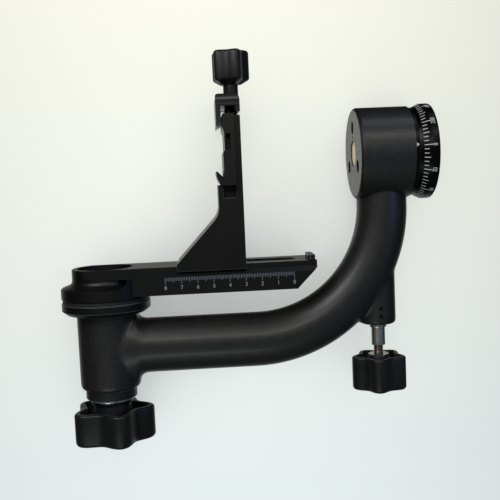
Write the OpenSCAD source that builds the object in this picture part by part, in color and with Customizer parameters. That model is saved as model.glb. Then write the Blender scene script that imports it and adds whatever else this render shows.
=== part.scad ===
// Gimbal tripod head, millimetres. +Z is up along the pan axis, and the origin
// is the centre of the tripod face. +X is the lens side; the tilt axis runs along X.

/* [Pan base] */
// Outer diameter of the scale ring
base_d = 60.4; // [56:0.2:68]
// Height of the scale ring
ring_h = 12.4; // [11:0.1:15]
// Height of the straight rim under the ring's cone
rim_h = 6.2; // [4:0.1:8]
// Diameter of the ring's top edge
ring_top_d = 54.4; // [50:0.2:56]
// Thickness of the base plate
plate_t = 8; // [6:0.5:9]
// Radius of the tripod thread (3/8 inch)
thread_r = 4.76; // [3.1:0.01:6]
// Depth of the tripod thread
thread_l = 12; // [9:0.5:14]

/* [Pan housing] */
// Outer diameter of the pan housing
housing_d = 58; // [54:0.5:64]
// Height of the housing's top face above the tripod face
housing_top = 48.7; // [48:0.1:60]
// Side wall of the pan housing
housing_wall = 4.5; // [3:0.5:6]
// Top wall of the pan housing
cap_t = 4.6; // [4:0.2:7]
// Radius of the rounded top edge
housing_round = 2.4; // [1:0.2:4]
// Radius of the pan spindle at its bearings
spindle_r = 7.5; // [6:0.5:8]
// Diameter of the circle of the three cap screws
cap_screw_pcd = 33; // [31:0.5:36]
// Height of the pan lock axis
lock_z = 36; // [34:0.5:37]

/* [Curved arm] */
// Outer diameter of the arm tube
tube_d = 35.2; // [30:0.2:36]
// Wall of the arm tube
tube_wall = 3.5; // [2.5:0.5:6]
// Height of the tube's axis where it leaves the pan housing
neck_z = 30.4; // [29:0.2:33]
// Radius of the bend, at the tube's axis
bend_r = 84; // [75:1:90]
// Height of the tilt axis
tilt_z = 211; // [200:1:240]
// Radius of the pan lock boss
boss_r = 11.8; // [10:0.2:14]
// Distance from the pan axis to the foot of the lock boss
boss_foot = 110.5; // [106:0.5:116]

/* [Tilt housing] */
// Outer diameter of the tilt housing
tilt_d = 38.6; // [37.6:0.2:44]
// Length of the tilt housing
tilt_len = 49.4; // [48:0.2:60]
// Distance from the housing's flange end to the tube's axis
tube_drop = 23; // [20:0.5:28]
// Diameter of the tilt flange and of the swing arm's disc
flange_d = 56.2; // [50:0.2:60]
// Thickness of the tilt flange
flange_t = 7.3; // [5:0.1:9]
// Radius of the tilt shaft at its bearings
shaft_r = 10; // [8:0.5:11]
// Length of the black collar under the tilt housing
collar_l = 5.8; // [5:0.2:10]

/* [Swing arm] */
// Distance from the pan axis to the lens side face of the swing arm
arm_offset = 65.2; // [64:0.2:80]
// Thickness of the swing arm
arm_t = 17.1; // [15:0.1:20]
// Width of the swing arm
arm_w = 41.2; // [38:0.2:44]
// Width of the rail that carries the bracket
rail_w = 35.2; // [32:0.2:37]
// Height of the rail
rail_h = 3.3; // [2.5:0.1:4.5]
// Length of the swing arm below the tilt axis
arm_len = 134.2; // [125:0.2:150]
// Width of the slot along the arm
slot_w = 14; // [10:0.5:16]
// Diameter of the round recess over the tilt shaft
recess_d = 35; // [32:0.5:36]

/* [Platform bracket] */
// Drop of the bracket's outer face below the tilt axis
bracket_drop = 89.8; // [80:0.2:92]
// Length of the bracket's foot along the arm
foot_l = 43; // [38:0.5:48]
// Width of the bracket
bracket_w = 40.6; // [38:0.2:46]
// Thickness of the bracket's upright plate
upright_t = 3.8; // [3:0.1:4.4]
// Height of the upright's top edge on the lens side of the pan axis
upright_top = 26.2; // [26:0.2:36]

/* [Lens clamp] */
// Length of the lens clamp
clamp_l = 50; // [42:1:60]
// Opening between the feet of the two jaws, almost closed
jaw_opening = 33.2; // [31:0.1:36]
// Thickness of the clamp base
clamp_t = 7.4; // [7:0.1:10]
// Height of the fixed jaw above the seat
jaw_h = 4.8; // [4:0.1:5.5]
// Height of the sliding jaw above the seat
lip_h = 3.6; // [3:0.1:4.5]
// Travel of the sliding jaw as it opens
jaw_travel = 5; // [3:0.5:6]

/* [Knobs] */
// Lobe radius of the tilt knob
tilt_knob_r = 26.8; // [22:0.2:30]
// Height of the tilt knob
tilt_knob_h = 21.4; // [20:0.2:28]
// Lobe radius of the pan knob
pan_knob_r = 18; // [15:0.2:22]
// Height of the pan knob
pan_knob_h = 22; // [18:0.5:26]
// Lobe radius of the clamp knob
clamp_knob_r = 12.2; // [10:0.1:14]
// Height of the clamp knob
clamp_knob_h = 18.2; // [16:0.2:26]

/* [Hidden] */
$fn = 64;

fit = 0.05;          // running clearance on a radius
run_gap = 0.3;       // clearance between faces that pass each other
far = 300;           // longer than anything that a cut has to pass
fine = 0.01;         // smallest overlap of two solids in one piece
lobes = 5;           // on the outline of the two lock knobs and of the clamp knob

// pan stack, heights above the tripod face
plate_r = base_d / 2 - 4.3;
collar_t = 2.1;
carrier_z = ring_h + run_gap + collar_t;
ceiling_z = housing_top - cap_t;
pan_race_t = 5;
pan_ball = 1.25;
pan_race_r = spindle_r + 4.5;
pan_low_z = carrier_z + 2.2;
pan_high_z = ceiling_z - pan_race_t;
carrier_r = housing_d / 2 - housing_wall;
spindle_flange_r = 20;
spindle_flange_t = 4;
nut_r = 8;
window_r = nut_r + 0.25;
stud_r = 5;
ring_lip_r = plate_r - 4;
cap_screw_r = 2.5;
cap_screw_l = 15;
cap_head_r = 4.1;
cap_head_t = 2.4;
cap_hole_l = 20;
rod_r = 2.5;
pad_l = 6;

// tilt stack, distances from the pan axis along the tilt axis
rail_x = arm_offset + rail_h;
bevel_x = rail_x + (arm_w - rail_w) / 2 * 0.95;
arm_back_x = arm_offset + arm_t;
disc_x = arm_offset + 12;
disc_back_x = arm_back_x + 1.7;
friction_x = disc_back_x + run_gap;
flange_x = friction_x + 2;
tilt_x = flange_x + flange_t;
tube_x = tilt_x + tube_drop;
tilt_end_x = tilt_x + tilt_len;
collar_end_x = tilt_end_x + collar_l;
washer_x = collar_end_x + 0.1;
washer_t = 2;
knob_x = washer_x + washer_t;
knob_flange_t = 1.6;
knob_rim_x = knob_x + 5;
tilt_race_t = 7;
tilt_ball = 1.6;
tilt_race_r = shaft_r + 6;
tilt_shoulder_x = tilt_x + 7;
lower_race_x = tilt_end_x - tilt_race_t;
neck_r = shaft_r - 2;
screw_r = 5;
screw_in = 16;
collar_r = tilt_race_r + 0.3;
housing_edge = 3.6;
tilt_turn = 36;
tilt_valley = 6.8;
tilt_knob_wall = 3.4;
tilt_hub_r = 12;
insert_r = 9;

// arm tube
tube_r = tube_d / 2;
bend_x = tube_x - bend_r;
bend_z = neck_z + bend_r;
flare = 5.2;
flare_steps = 6;
flare_sides = 64;
reach_end_z = tilt_z - tilt_d / 2 - flare;

// pan lock, distances from the pan axis along the lock axis
boss_round = 2.6;
boss_l = 50;
bush_r = 5;
set_screw_r = 1.2;
set_screw_in = 11.1;
set_screw_pitch = 4.9;
bush_in = boss_foot - 12.5;
bush_out = boss_foot + 14.1;
lock_screw_r = 3.1;
lock_screw_in = 8;
lock_in = bush_in + 2;
pan_knob_x = bush_out + 7;
pan_turn = -6;
pan_valley = 4;
pan_hub_r = 6.5;
insert_l = 14;

// swing arm
disc_r = flange_d / 2;
hub_r = arm_w / 2 + 0.1;
hollow_r = 3.8;
hollow_drop = 5.3;
notch_w = 5;
recess_depth = 11.8;
head_t = 3;
head_r = recess_d / 2 - 2.5;
shaft_screw_r = 1.5;
shaft_screw_at = shaft_r + 2;
shaft_screw_l = 7.5;
shaft_head_r = 2.6;
shaft_head_t = 2.4;
arm_foot_z = tilt_z - arm_len;
slot_top_z = tilt_z - 48;
slot_foot_z = arm_foot_z + 11.8;
channel_w = slot_w + 8;
channel_x = arm_offset + 9;
corner = 13;

// bracket and lens clamp
upright_z = tilt_z - bracket_drop;
foot_x = arm_offset - fit;
lip_x = rail_x - run_gap;
saddle_w = rail_w + 0.1;
gusset_top = -16.2;
gusset_t = 15.3;
gusset_a = 43.2;
gusset_r = 13.4;
gusset_land = 4.4;
pocket_l = 8;
pocket_in = 5;
nut_l = 22;
nut_z = upright_z + foot_l / 2;
nut_t = 5;
nut_x = channel_x + 0.2;
bolt_r = 2.5;
bolt_head_r = 4.2;
bolt_head_t = 2.6;
bolt_hold = 12;
bolt_gap = 11;
seat_z = upright_z + upright_t + clamp_t;
fixed_root_x = -11.8;
relief_x = [4, 4.6, 15.6, 19.2];
relief_t = 1;
jaw_root_x = fixed_root_x + jaw_opening;
jaw_tip_x = fixed_root_x + jaw_h - 1.2;
base_back_x = gusset_top + 0.1;
base_end_x = upright_top + 1;
jaw_gap = 5;
jaw_t = 7;
jaw_back_r = 12.4;
jaw_round = 2;
jaw_foot_round = 4;
jaw_x = base_end_x + jaw_gap;
jaw_end_x = jaw_x + jaw_t;
clamp_axis_z = upright_z + 4.2;
clamp_screw_r = 3;
thread_hold = 13.2;
stem_r = 4.7;
stem_l = 7.2;
spine_x = fixed_root_x + 4;
spine_w = 14;
spine_t = upright_t - 0.1;
pin_r = 1.6;
pin_y = 16;
pin_z = seat_z - 4.4;
pin_in = 12;
pin_hold = 1.7;
lip_gap = 0.5;
screw_end_x = base_end_x - thread_hold - jaw_travel;
knob_bevel = 3;
clamp_valley = 2.8;
clamp_turn = 4;
clamp_edge = 1.6;
knob_bore_x = jaw_end_x + stem_l + 12;
base_screw_xs = [-6, 12];
base_screw_y = 13;
base_screw_r = 2;
base_screw_l = 9;
side_window = [5.5, 9.5, 2.8];
side_window_in = 1.5;
side_window_z = seat_z - 4.6;

// ---- helpers -------------------------------------------------------------

// local z runs from the pan axis away from the lens, along the tilt or the lock axis
module along_tilt(x = 0) translate([-x, 0, tilt_z]) rotate([0, -90, 0]) children();
module along_lock(x = 0) translate([-x, 0, lock_z]) rotate([0, -90, 0]) children();

module tube(r_out, r_in, h) {
    difference() {
        cylinder(r = r_out, h = h);
        translate([0, 0, -1]) cylinder(r = r_in, h = h + 2);
    }
}

// points of a quarter round of radius r about c, from angle a0 to a1
function arc_points(c, r, a0, a1, steps = 6) =
    [for (i = [0 : steps]) let (a = a0 + (a1 - a0) * i / steps) [c[0] + r * cos(a), c[1] + r * sin(a)]];

// half of a ball bearing's balls and races: pitch radius, ball radius, width
function pitch_r(bore, out) = (bore + out) / 2;
module race_groove(bore, out, ball, t) {
    translate([0, 0, t / 2]) rotate_extrude() translate([pitch_r(bore, out), 0]) circle(r = ball + fit);
}
module inner_race(bore, out, ball, t) {
    difference() {
        tube(pitch_r(bore, out) - ball * 0.6, bore, t);
        race_groove(bore, out, ball, t);
    }
}
module outer_race(bore, out, ball, t) {
    difference() {
        tube(out, pitch_r(bore, out) + ball * 0.6, t);
        race_groove(bore, out, ball, t);
    }
}
module ball_row(bore, out, ball, t, count) {
    for (i = [0 : count - 1]) {
        rotate(i * 360 / count) translate([pitch_r(bore, out), 0, t / 2]) sphere(r = ball, $fn = 24);
    }
}
// a socket head screw along -z: the head's top at 0, the shank below it
module cap_screw(shank_r, length, head, head_h) {
    difference() {
        translate([0, 0, -head_h]) cylinder(r = head, h = head_h);
        translate([0, 0, -head_h * 0.55]) cylinder(r = head * 0.5, h = head_h, $fn = 6);
    }
    translate([0, 0, -head_h - length]) cylinder(r = shank_r, h = length + fine);
}

// a countersunk screw along +z from its flat head
module flat_screw(shank_r, length) {
    difference() {
        union() {
            cylinder(r1 = shank_r * 2, r2 = shank_r, h = shank_r);
            cylinder(r = shank_r, h = length);
        }
        translate([0, 0, -fine]) cylinder(r = shank_r * 0.8, h = shank_r * 0.7, $fn = 6);
    }
}
module flat_screw_hole(shank_r, length) {
    cylinder(r1 = shank_r * 2, r2 = shank_r, h = shank_r);
    cylinder(r = shank_r, h = length);
}

// outline of a five-lobed knob, its lobes first at the angle turn
function lobe_outline(r, valley, inset, turn) = [for (i = [0 : 79]) let (a = i * 4.5,
    rr = r - valley * (1 - cos(lobes * (a - turn))) / 2 - inset) [rr * cos(a), rr * sin(a)]];
module lobed(r, valley, h, edge, turn) {
    linear_extrude(height = h - edge) polygon(lobe_outline(r, valley, 0, turn));
    translate([0, 0, h - edge]) linear_extrude(height = edge, scale = (r - edge) / r)
        polygon(lobe_outline(r, valley, 0, turn));
}

// ---- pan base ------------------------------------------------------------

module base_plate() color([0.08, 0.08, 0.08]) difference() {
    cylinder(r = plate_r, h = plate_t);
    translate([0, 0, -1]) cylinder(r = nut_r, h = plate_t + 2);
    base_screw_places() flat_screw_hole(base_screw_r, far);
}
module base_screw_places() {
    for (a = [30 : 120 : 270]) rotate(a) translate([spindle_flange_r - 5, 0, 0]) children();
}
module base_screws() color([0.3, 0.3, 0.32])
    base_screw_places() flat_screw(base_screw_r, plate_t + spindle_flange_t - 0.5);

// steel bush that carries the tripod thread
module thread_insert() color([0.62, 0.61, 0.58]) tube(nut_r, thread_r, thread_l);

module scale_ring() color([0.05, 0.05, 0.055])
    rotate_extrude() polygon(concat(
        [[ring_lip_r, ring_h], [ring_lip_r, plate_t], [plate_r, plate_t], [plate_r, 0.3]],
        arc_points([base_d / 2 - 1.2, 1.5], 1.2, -90, 0),
        [[base_d / 2, rim_h], [ring_top_d / 2, ring_h]]));

module pan_spindle() color([0.7, 0.69, 0.66]) difference() {
    union() {
        translate([0, 0, plate_t]) cylinder(r = spindle_flange_r, h = spindle_flange_t);
        translate([0, 0, plate_t]) cylinder(r = spindle_r + 1.6, h = pan_low_z - plate_t);
        translate([0, 0, plate_t]) cylinder(r = spindle_r, h = ceiling_z - plate_t);
        translate([0, 0, ceiling_z - fine]) cylinder(r = stud_r, h = cap_t - 1.8);
    }
    translate([0, 0, plate_t - 1]) cylinder(r = nut_r, h = thread_l - plate_t + 1);
    base_screw_places() flat_screw_hole(base_screw_r, plate_t + spindle_flange_t - 0.5);
}

// brass nut that holds the spindle, seen through the window in the housing's top
module spindle_nut() color([0.77, 0.68, 0.53]) difference() {
    translate([0, 0, ceiling_z]) cylinder(r = nut_r, h = cap_t - 0.7);
    translate([0, 0, ceiling_z - 1]) cylinder(r = stud_r, h = cap_t - 0.8);
}

module pan_inner_races() color([0.75, 0.75, 0.75]) for (z = [pan_low_z, pan_high_z]) {
    translate([0, 0, z]) inner_race(spindle_r, pan_race_r, pan_ball, pan_race_t);
}
module pan_outer_races() color([0.75, 0.75, 0.75]) for (z = [pan_low_z, pan_high_z]) {
    translate([0, 0, z]) outer_race(spindle_r, pan_race_r, pan_ball, pan_race_t);
}
module pan_balls() color([0.8, 0.8, 0.8]) for (z = [pan_low_z, pan_high_z]) {
    translate([0, 0, z]) ball_row(spindle_r, pan_race_r, pan_ball, pan_race_t, 12);
}

// ---- pan housing ---------------------------------------------------------

module cap_screw_places() {
    for (a = [0 : 120 : 240]) rotate(a) translate([cap_screw_pcd / 2, 0, housing_top - 1]) children();
}

// aluminium core that seats both bearings and guides the brake rod
module bearing_carrier() color([0.6, 0.6, 0.62]) difference() {
    translate([0, 0, carrier_z]) cylinder(r = carrier_r, h = ceiling_z - carrier_z);
    translate([0, 0, carrier_z - 1]) cylinder(r = pan_race_r, h = pan_low_z + pan_race_t - carrier_z + 1);
    translate([0, 0, pan_high_z]) cylinder(r = pan_race_r, h = pan_race_t + 1);
    cylinder(r = pan_race_r - 1.4, h = far);
    along_lock() cylinder(r = rod_r + fit, h = far);
    cap_screw_places() translate([0, 0, -cap_hole_l]) cylinder(r = cap_screw_r, h = cap_hole_l);
}

module index_collar() color([0.04, 0.04, 0.04])
    translate([0, 0, carrier_z - collar_t]) tube(housing_d / 2 - 0.9, carrier_r, collar_t);

module pan_housing() color([0.17, 0.17, 0.16]) difference() {
    rotate_extrude() polygon(concat(
        [[0, housing_top], [0, carrier_z], [housing_d / 2, carrier_z]],
        arc_points([housing_d / 2 - housing_round, housing_top - housing_round], housing_round, 0, 90)));
    translate([0, 0, carrier_z - 1]) cylinder(r = carrier_r, h = ceiling_z - carrier_z + 1);
    cylinder(r = window_r, h = far);
    along_lock() cylinder(r = rod_r + 0.2, h = far);
    cap_screw_places() {
        translate([0, 0, -cap_hole_l]) cylinder(r = cap_screw_r, h = cap_hole_l + 1);
        translate([0, 0, -cap_head_t]) cylinder(r = cap_head_r, h = far);
    }
}
module cap_screws() color([0.1, 0.1, 0.1])
    cap_screw_places() cap_screw(cap_screw_r, cap_screw_l, cap_head_r, cap_head_t);

// ---- curved arm ----------------------------------------------------------

// the whole run of the tube at radius r: neck, bend and reach
module tube_run(r, reach_end) {
    rotate([0, -90, 0]) translate([neck_z, 0, 0]) cylinder(r = r, h = bend_x);
    translate([-bend_x, 0, bend_z]) rotate([90, 0, 0]) rotate_extrude(angle = 90, start = 180)
        translate([bend_r, 0]) circle(r = r);
    translate([-tube_x, 0, bend_z]) cylinder(r = r, h = reach_end - bend_z);
}
module arm_tube() color([0.2, 0.2, 0.18]) difference() {
    tube_run(tube_r, reach_end_z);
    cylinder(r = housing_d / 2, h = far);
    difference() {
        tube_run(tube_r - tube_wall, reach_end_z + 1);
        cylinder(r = housing_d / 2 + 1.5, h = far);
    }
    along_lock() cylinder(r = rod_r + fit, h = boss_foot);
    along_lock(bush_in) cylinder(r = bush_r, h = boss_foot - bush_in);
    set_screw_places() cylinder(r = set_screw_r, h = boss_r + 1);
}

// boss on the outside of the bend, for the pan lock
module lock_boss() color([0.16, 0.16, 0.15]) difference() {
    rotate([0, -90, 0]) translate([lock_z, 0, 0]) rotate_extrude() polygon(concat(
        [[0, boss_foot - boss_l], [boss_r, boss_foot - boss_l]],
        arc_points([boss_r - boss_round, boss_foot - boss_round], boss_round, 0, 90),
        [[0, boss_foot]]));
    tube_run(tube_r, reach_end_z);
    along_lock(bush_in) cylinder(r = bush_r, h = far);
    along_lock() cylinder(r = rod_r + fit, h = boss_foot);
    set_screw_places() cylinder(r = set_screw_r, h = boss_r + 1);
}
module set_screw_places() {
    for (x = [0, set_screw_pitch]) translate([set_screw_in - boss_foot - x, 0, lock_z])
        rotate([90, 0, 0]) children();
}
module lock_bush() color([0.82, 0.81, 0.76]) difference() {
    union() {
        along_lock(bush_in) cylinder(r = bush_r, h = boss_foot - bush_in);
        along_lock(boss_foot) cylinder(r = bush_r + 0.6, h = 2.2);
        along_lock(boss_foot) cylinder(r = bush_r - 0.4, h = bush_out - boss_foot);
    }
    along_lock() cylinder(r = lock_screw_r + fit, h = far);
}
module bush_set_screws() color([0.05, 0.05, 0.05]) set_screw_places() difference() {
    translate([0, 0, bush_r]) cylinder(r = set_screw_r, h = boss_r - bush_r - 0.6);
    translate([0, 0, boss_r - 1.8]) cylinder(r = set_screw_r / 2, h = 2, $fn = 6);
}

module brake_pad() color([0.72, 0.57, 0.3]) along_lock(spindle_r + 0.1) cylinder(r = rod_r, h = pad_l);
module brake_rod() color([0.7, 0.7, 0.7])
    along_lock(spindle_r + 0.1 + pad_l) cylinder(r = rod_r, h = lock_in - spindle_r - 0.1 - pad_l);
module pan_lock_screw() color([0.45, 0.38, 0.3])
    along_lock(lock_in + 0.1) cylinder(r = lock_screw_r, h = pan_knob_x + lock_screw_in - lock_in - 0.1);

// space inside the open side of a knob, round its hub
module knob_hollow(r, valley, wall, hub, depth, turn) {
    translate([0, 0, -1]) linear_extrude(height = depth + 1) difference() {
        polygon(lobe_outline(r, valley, wall, turn));
        circle(r = hub);
    }
}
module pan_knob() color([0.1, 0.11, 0.12]) difference() {
    along_lock(pan_knob_x) lobed(pan_knob_r, pan_valley, pan_knob_h, 2.4, pan_turn);
    along_lock(pan_knob_x) knob_hollow(pan_knob_r, pan_valley, 2.6, pan_hub_r, pan_knob_h * 0.55, pan_turn);
    along_lock(pan_knob_x - 1) cylinder(r = bush_r, h = insert_l);
}
module pan_knob_insert() color([0.5, 0.49, 0.47]) along_lock(pan_knob_x - 1) difference() {
    union() {
        cylinder(r = pan_hub_r, h = 1);
        cylinder(r = bush_r, h = insert_l);
    }
    translate([0, 0, -1]) cylinder(r = lock_screw_r, h = lock_screw_in + 2);
}

// ---- tilt housing --------------------------------------------------------

module tilt_housing() color([0.18, 0.18, 0.19]) difference() {
    union() {
        along_tilt(tilt_x) rotate_extrude() polygon(concat(
            [[0, 0], [tilt_d / 2, 0]],
            arc_points([tilt_d / 2 - housing_edge, tilt_len - housing_edge], housing_edge, 0, 90),
            [[0, tilt_len]]));
        tube_flare();
    }
    along_tilt(tilt_x - 1) cylinder(r = shaft_r + 2.5, h = far);
    along_tilt(tilt_shoulder_x) cylinder(r = tilt_race_r, h = far);
    flange_screw_places() translate([0, 0, -9.2]) cylinder(r = 1.5, h = 12);
}
// the tube's end widens along the tilt axis and flows into the housing
flare_z = [for (i = [0 : flare_steps]) reach_end_z + flare * sin(90 * i / flare_steps), tilt_z];
flare_x = [for (i = [0 : flare_steps]) tube_r + flare * (1 - cos(90 * i / flare_steps)), tube_r + flare];
module tube_flare() {
    rings = len(flare_z);
    polyhedron(
        points = [for (i = [0 : rings - 1], k = [0 : flare_sides - 1]) let (a = 360 * k / flare_sides)
            [flare_x[i] * cos(a) - tube_x, tube_r * sin(a), flare_z[i]]],
        faces = concat(
            [[for (k = [flare_sides - 1 : -1 : 0]) (rings - 1) * flare_sides + k]],
            [[for (k = [0 : flare_sides - 1]) k]],
            [for (i = [0 : rings - 2], k = [0 : flare_sides - 1])
                let (n = (k + 1) % flare_sides, low = i * flare_sides, high = low + flare_sides)
                    [low + k, high + k, high + n, low + n]]));
}
module flange_screw_places() {
    for (a = [45 : 90 : 315]) along_tilt(flange_x + 3) rotate([180, 0, a])
        translate([shaft_r + 6, 0, 0]) children();
}
module tilt_flange() color([0.05, 0.05, 0.055]) difference() {
    along_tilt(flange_x) rotate_extrude() polygon([[shaft_r + 2.5, 0], [disc_r - 0.5, 0], [disc_r, 0.5],
        [disc_r, flange_t - 2.4], [disc_r - 3, flange_t], [shaft_r + 2.5, flange_t]]);
    flange_screw_places() {
        translate([0, 0, -10]) cylinder(r = 1.5, h = 20);
        translate([0, 0, -0.2]) cylinder(r = 2.9, h = 6);
    }
}
module flange_screws() color([0.1, 0.1, 0.1])
    flange_screw_places() translate([0, 0, 2.6]) cap_screw(1.5, 9, 2.9, 2.8);
module friction_ring() color([0.12, 0.12, 0.12])
    along_tilt(friction_x) tube(disc_r - 0.6, shaft_r + 10.5, flange_x - friction_x);

module tilt_race_places() {
    for (x = [tilt_shoulder_x, lower_race_x]) along_tilt(x) children();
}
module tilt_outer_races() color([0.75, 0.75, 0.75])
    tilt_race_places() outer_race(shaft_r, tilt_race_r, tilt_ball, tilt_race_t);
module tilt_inner_races() color([0.75, 0.75, 0.75])
    tilt_race_places() inner_race(shaft_r, tilt_race_r, tilt_ball, tilt_race_t);
module tilt_balls() color([0.8, 0.8, 0.8])
    tilt_race_places() ball_row(shaft_r, tilt_race_r, tilt_ball, tilt_race_t, 14);
module race_spacer() color([0.6, 0.6, 0.6]) along_tilt(tilt_shoulder_x + tilt_race_t)
    tube(tilt_race_r, tilt_race_r - 2, lower_race_x - tilt_shoulder_x - tilt_race_t);
module tilt_collar() color([0.05, 0.05, 0.05]) difference() {
    along_tilt(tilt_end_x) tube(collar_r, neck_r + 0.3, collar_l);
    along_tilt(tilt_end_x - 1) cylinder(r = tilt_race_r - 2.6, h = 1.6);
}

// ---- swing arm -----------------------------------------------------------

module tilt_shaft() color([0.72, 0.72, 0.72]) difference() {
    union() {
        along_tilt(arm_offset + recess_depth - head_t) cylinder(r = head_r, h = head_t);
        along_tilt(arm_offset + recess_depth - head_t) cylinder(r = shaft_r,
            h = tilt_end_x + 0.3 - arm_offset - recess_depth + head_t);
        along_tilt(tilt_end_x) cylinder(r = neck_r, h = knob_x + 1.5 - tilt_end_x);
        along_tilt(tilt_end_x) cylinder(r = screw_r, h = knob_x + screw_in - tilt_end_x);
    }
    along_tilt(arm_offset + recess_depth - head_t - 1) cylinder(r = 5, h = 3, $fn = 6);
    shaft_screw_places() cylinder(r = shaft_screw_r, h = far, center = true);
}
module shaft_screw_places() {
    for (a = [0 : 90 : 270]) along_tilt(arm_offset + recess_depth - head_t) rotate([180, 0, a])
        translate([shaft_screw_at, 0, 0]) children();
}
module shaft_screws() color([0.15, 0.15, 0.15])
    shaft_screw_places() translate([0, 0, shaft_head_t])
        cap_screw(shaft_screw_r, shaft_screw_l, shaft_head_r, shaft_head_t);

// section of the arm in the plane across its length: lens side up
module arm_section() {
    polygon([[-rail_w / 2, -arm_offset], [-rail_w / 2, -rail_x], [-arm_w / 2, -bevel_x],
        [-arm_w / 2, -arm_back_x], [arm_w / 2, -arm_back_x], [arm_w / 2, -bevel_x],
        [rail_w / 2, -rail_x], [rail_w / 2, -arm_offset]]);
}
// round hub, flowing out to the disc through a hollow
module hub_body() {
    along_tilt() rotate_extrude() polygon(concat(
        [[0, arm_offset], [hub_r - 0.6, arm_offset], [hub_r, arm_offset + 0.6]],
        arc_points([hub_r + hollow_r, disc_x - hollow_drop], hollow_r, 180, 100),
        [[disc_r - 0.8, disc_x - 0.3], [disc_r, disc_x + 0.6], [disc_r, disc_back_x - 0.4],
         [disc_r - 0.4, disc_back_x], [0, disc_back_x]]));
}
module swing_arm() color([0.09, 0.09, 0.1]) difference() {
    union() {
        difference() {
            translate([0, 0, arm_foot_z]) rotate([0, 0, -90]) mirror([1, 0, 0])
                linear_extrude(height = arm_len) arm_section();
            along_tilt(bevel_x) rotate_extrude() polygon(concat(
                [[0, far], [0, 0], [hub_r + 2 * hollow_r, 0]],
                arc_points([hub_r + hollow_r, disc_x - hollow_drop - bevel_x], hollow_r, 0, 90),
                [[hub_r + hollow_r, far]]));
        }
        hub_body();
    }
    along_tilt(arm_offset - 1) cylinder(r = recess_d / 2, h = recess_depth + 1);
    along_tilt() cylinder(r = shaft_r, h = far);
    shaft_screw_places() translate([0, 0, -shaft_screw_l]) cylinder(r = shaft_screw_r, h = shaft_screw_l + 1);
    arm_slot(slot_w, arm_offset - 1, far);
    translate([-far, -channel_w / 2, slot_foot_z])
        cube([far - channel_x, channel_w, slot_top_z - slot_foot_z]);
    for (s = [0, 1]) mirror([0, s, 0]) rail_notch();
    translate([-arm_back_x, 0, arm_foot_z]) rotate([0, 45, 0])
        cube([corner * sqrt(2), far, corner * sqrt(2)], center = true);
}
// the step beside the rail runs on across the hub
module rail_notch() translate([0, 0, tilt_z]) rotate([0, 0, -90]) mirror([1, 0, 0])
    linear_extrude(height = 2 * hub_r + 1, center = true) polygon([[rail_w / 2, 1 - arm_offset],
        [rail_w / 2, -rail_x], [arm_w / 2, -bevel_x], [arm_w / 2 + notch_w, -bevel_x],
        [arm_w / 2 + notch_w, 1 - arm_offset]]);
// round-ended slot of width w, from x0 to x1 away from the lens
module arm_slot(w, x0, x1) {
    translate([-x0, 0, 0]) rotate([0, -90, 0]) linear_extrude(height = x1 - x0) {
        translate([slot_foot_z + w / 2, 0]) circle(d = w);
        translate([slot_top_z - w / 2, 0]) circle(d = w);
        translate([slot_foot_z + w / 2, -w / 2]) square([slot_top_z - slot_foot_z - w, w]);
    }
}
// block that stops the bracket at the arm's foot
module end_stop() color([0.08, 0.08, 0.08]) translate([-arm_offset, -10, arm_foot_z]) rotate([90, 0, 90])
    linear_extrude(height = 2.8) polygon([[0, 0], [20, 0], [20, 3.2], [18, 4.4], [2, 4.4], [0, 3.2]]);

// ---- tilt lock -----------------------------------------------------------

module thrust_washer() color([0.85, 0.85, 0.86])
    along_tilt(washer_x) tube(collar_r - 1.5, neck_r + fit, washer_t);
module tilt_knob() color([0.06, 0.06, 0.06]) difference() {
    union() {
        along_tilt(knob_rim_x) lobed(tilt_knob_r, tilt_valley, tilt_knob_h, 3.2, tilt_turn);
        along_tilt(knob_x + knob_flange_t) cylinder(r = tilt_hub_r, h = tilt_knob_h);
    }
    along_tilt(knob_rim_x)
        knob_hollow(tilt_knob_r, tilt_valley, tilt_knob_wall, tilt_hub_r, tilt_knob_h / 2, tilt_turn);
    along_tilt(knob_x) cylinder(r = insert_r, h = screw_in + 2);
}
module tilt_knob_insert() color([0.5, 0.49, 0.47]) difference() {
    union() {
        along_tilt(knob_x) cylinder(r = tilt_hub_r + 1.2, h = knob_flange_t);
        along_tilt(knob_x) cylinder(r = insert_r, h = screw_in + 2);
    }
    along_tilt(knob_x - 1) cylinder(r = neck_r + fit, h = 2.8);
    along_tilt(knob_x - 1) cylinder(r = screw_r + fit, h = screw_in + 1.6);
}

// ---- platform ------------------------------------------------------------

module bracket_profile() {
    slope_z = upright_z + foot_l;
    wall_z = upright_z + gusset_t;
    slope_end_x = gusset_land - lip_x + (foot_l - gusset_t) / tan(gusset_a) + gusset_r * tan(gusset_a / 2);
    polygon(concat(
        [[-lip_x, upright_z], [-lip_x, slope_z], [gusset_land - lip_x, slope_z]],
        arc_points([slope_end_x, wall_z + gusset_r], gusset_r, 270 - gusset_a, 270),
        [[gusset_top, wall_z], [gusset_top, upright_z + upright_t],
         [upright_top, upright_z + upright_t], [upright_top, upright_z]]));
}
module platform_bracket() color([0.12, 0.12, 0.12]) difference() {
    rotate([90, 0, 0]) linear_extrude(height = bracket_w, center = true) bracket_profile();
    translate([-lip_x - 1, -saddle_w / 2, 0]) cube([lip_x - foot_x + 1, saddle_w, far]);
    for (s = [-1, 1]) translate([gusset_top - pocket_l, s * bracket_w / 2 - pocket_in, upright_z + upright_t])
        cube([pocket_l + 1, 2 * pocket_in, gusset_t - upright_t - 3]);
    translate([gusset_top, -spine_w / 2 - fit, upright_z - 1]) cube([far, spine_w + 2 * fit, upright_t + 2]);
    bolt_places() cylinder(r = bolt_r, h = bolt_hold + 1);
    base_screw_holes() flat_screw_hole(base_screw_r, 20);
}
module bolt_places() {
    for (s = [-1, 1]) translate([-foot_x, 0, nut_z + s * bolt_gap / 2]) rotate([0, 90, 0]) children();
}
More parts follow.
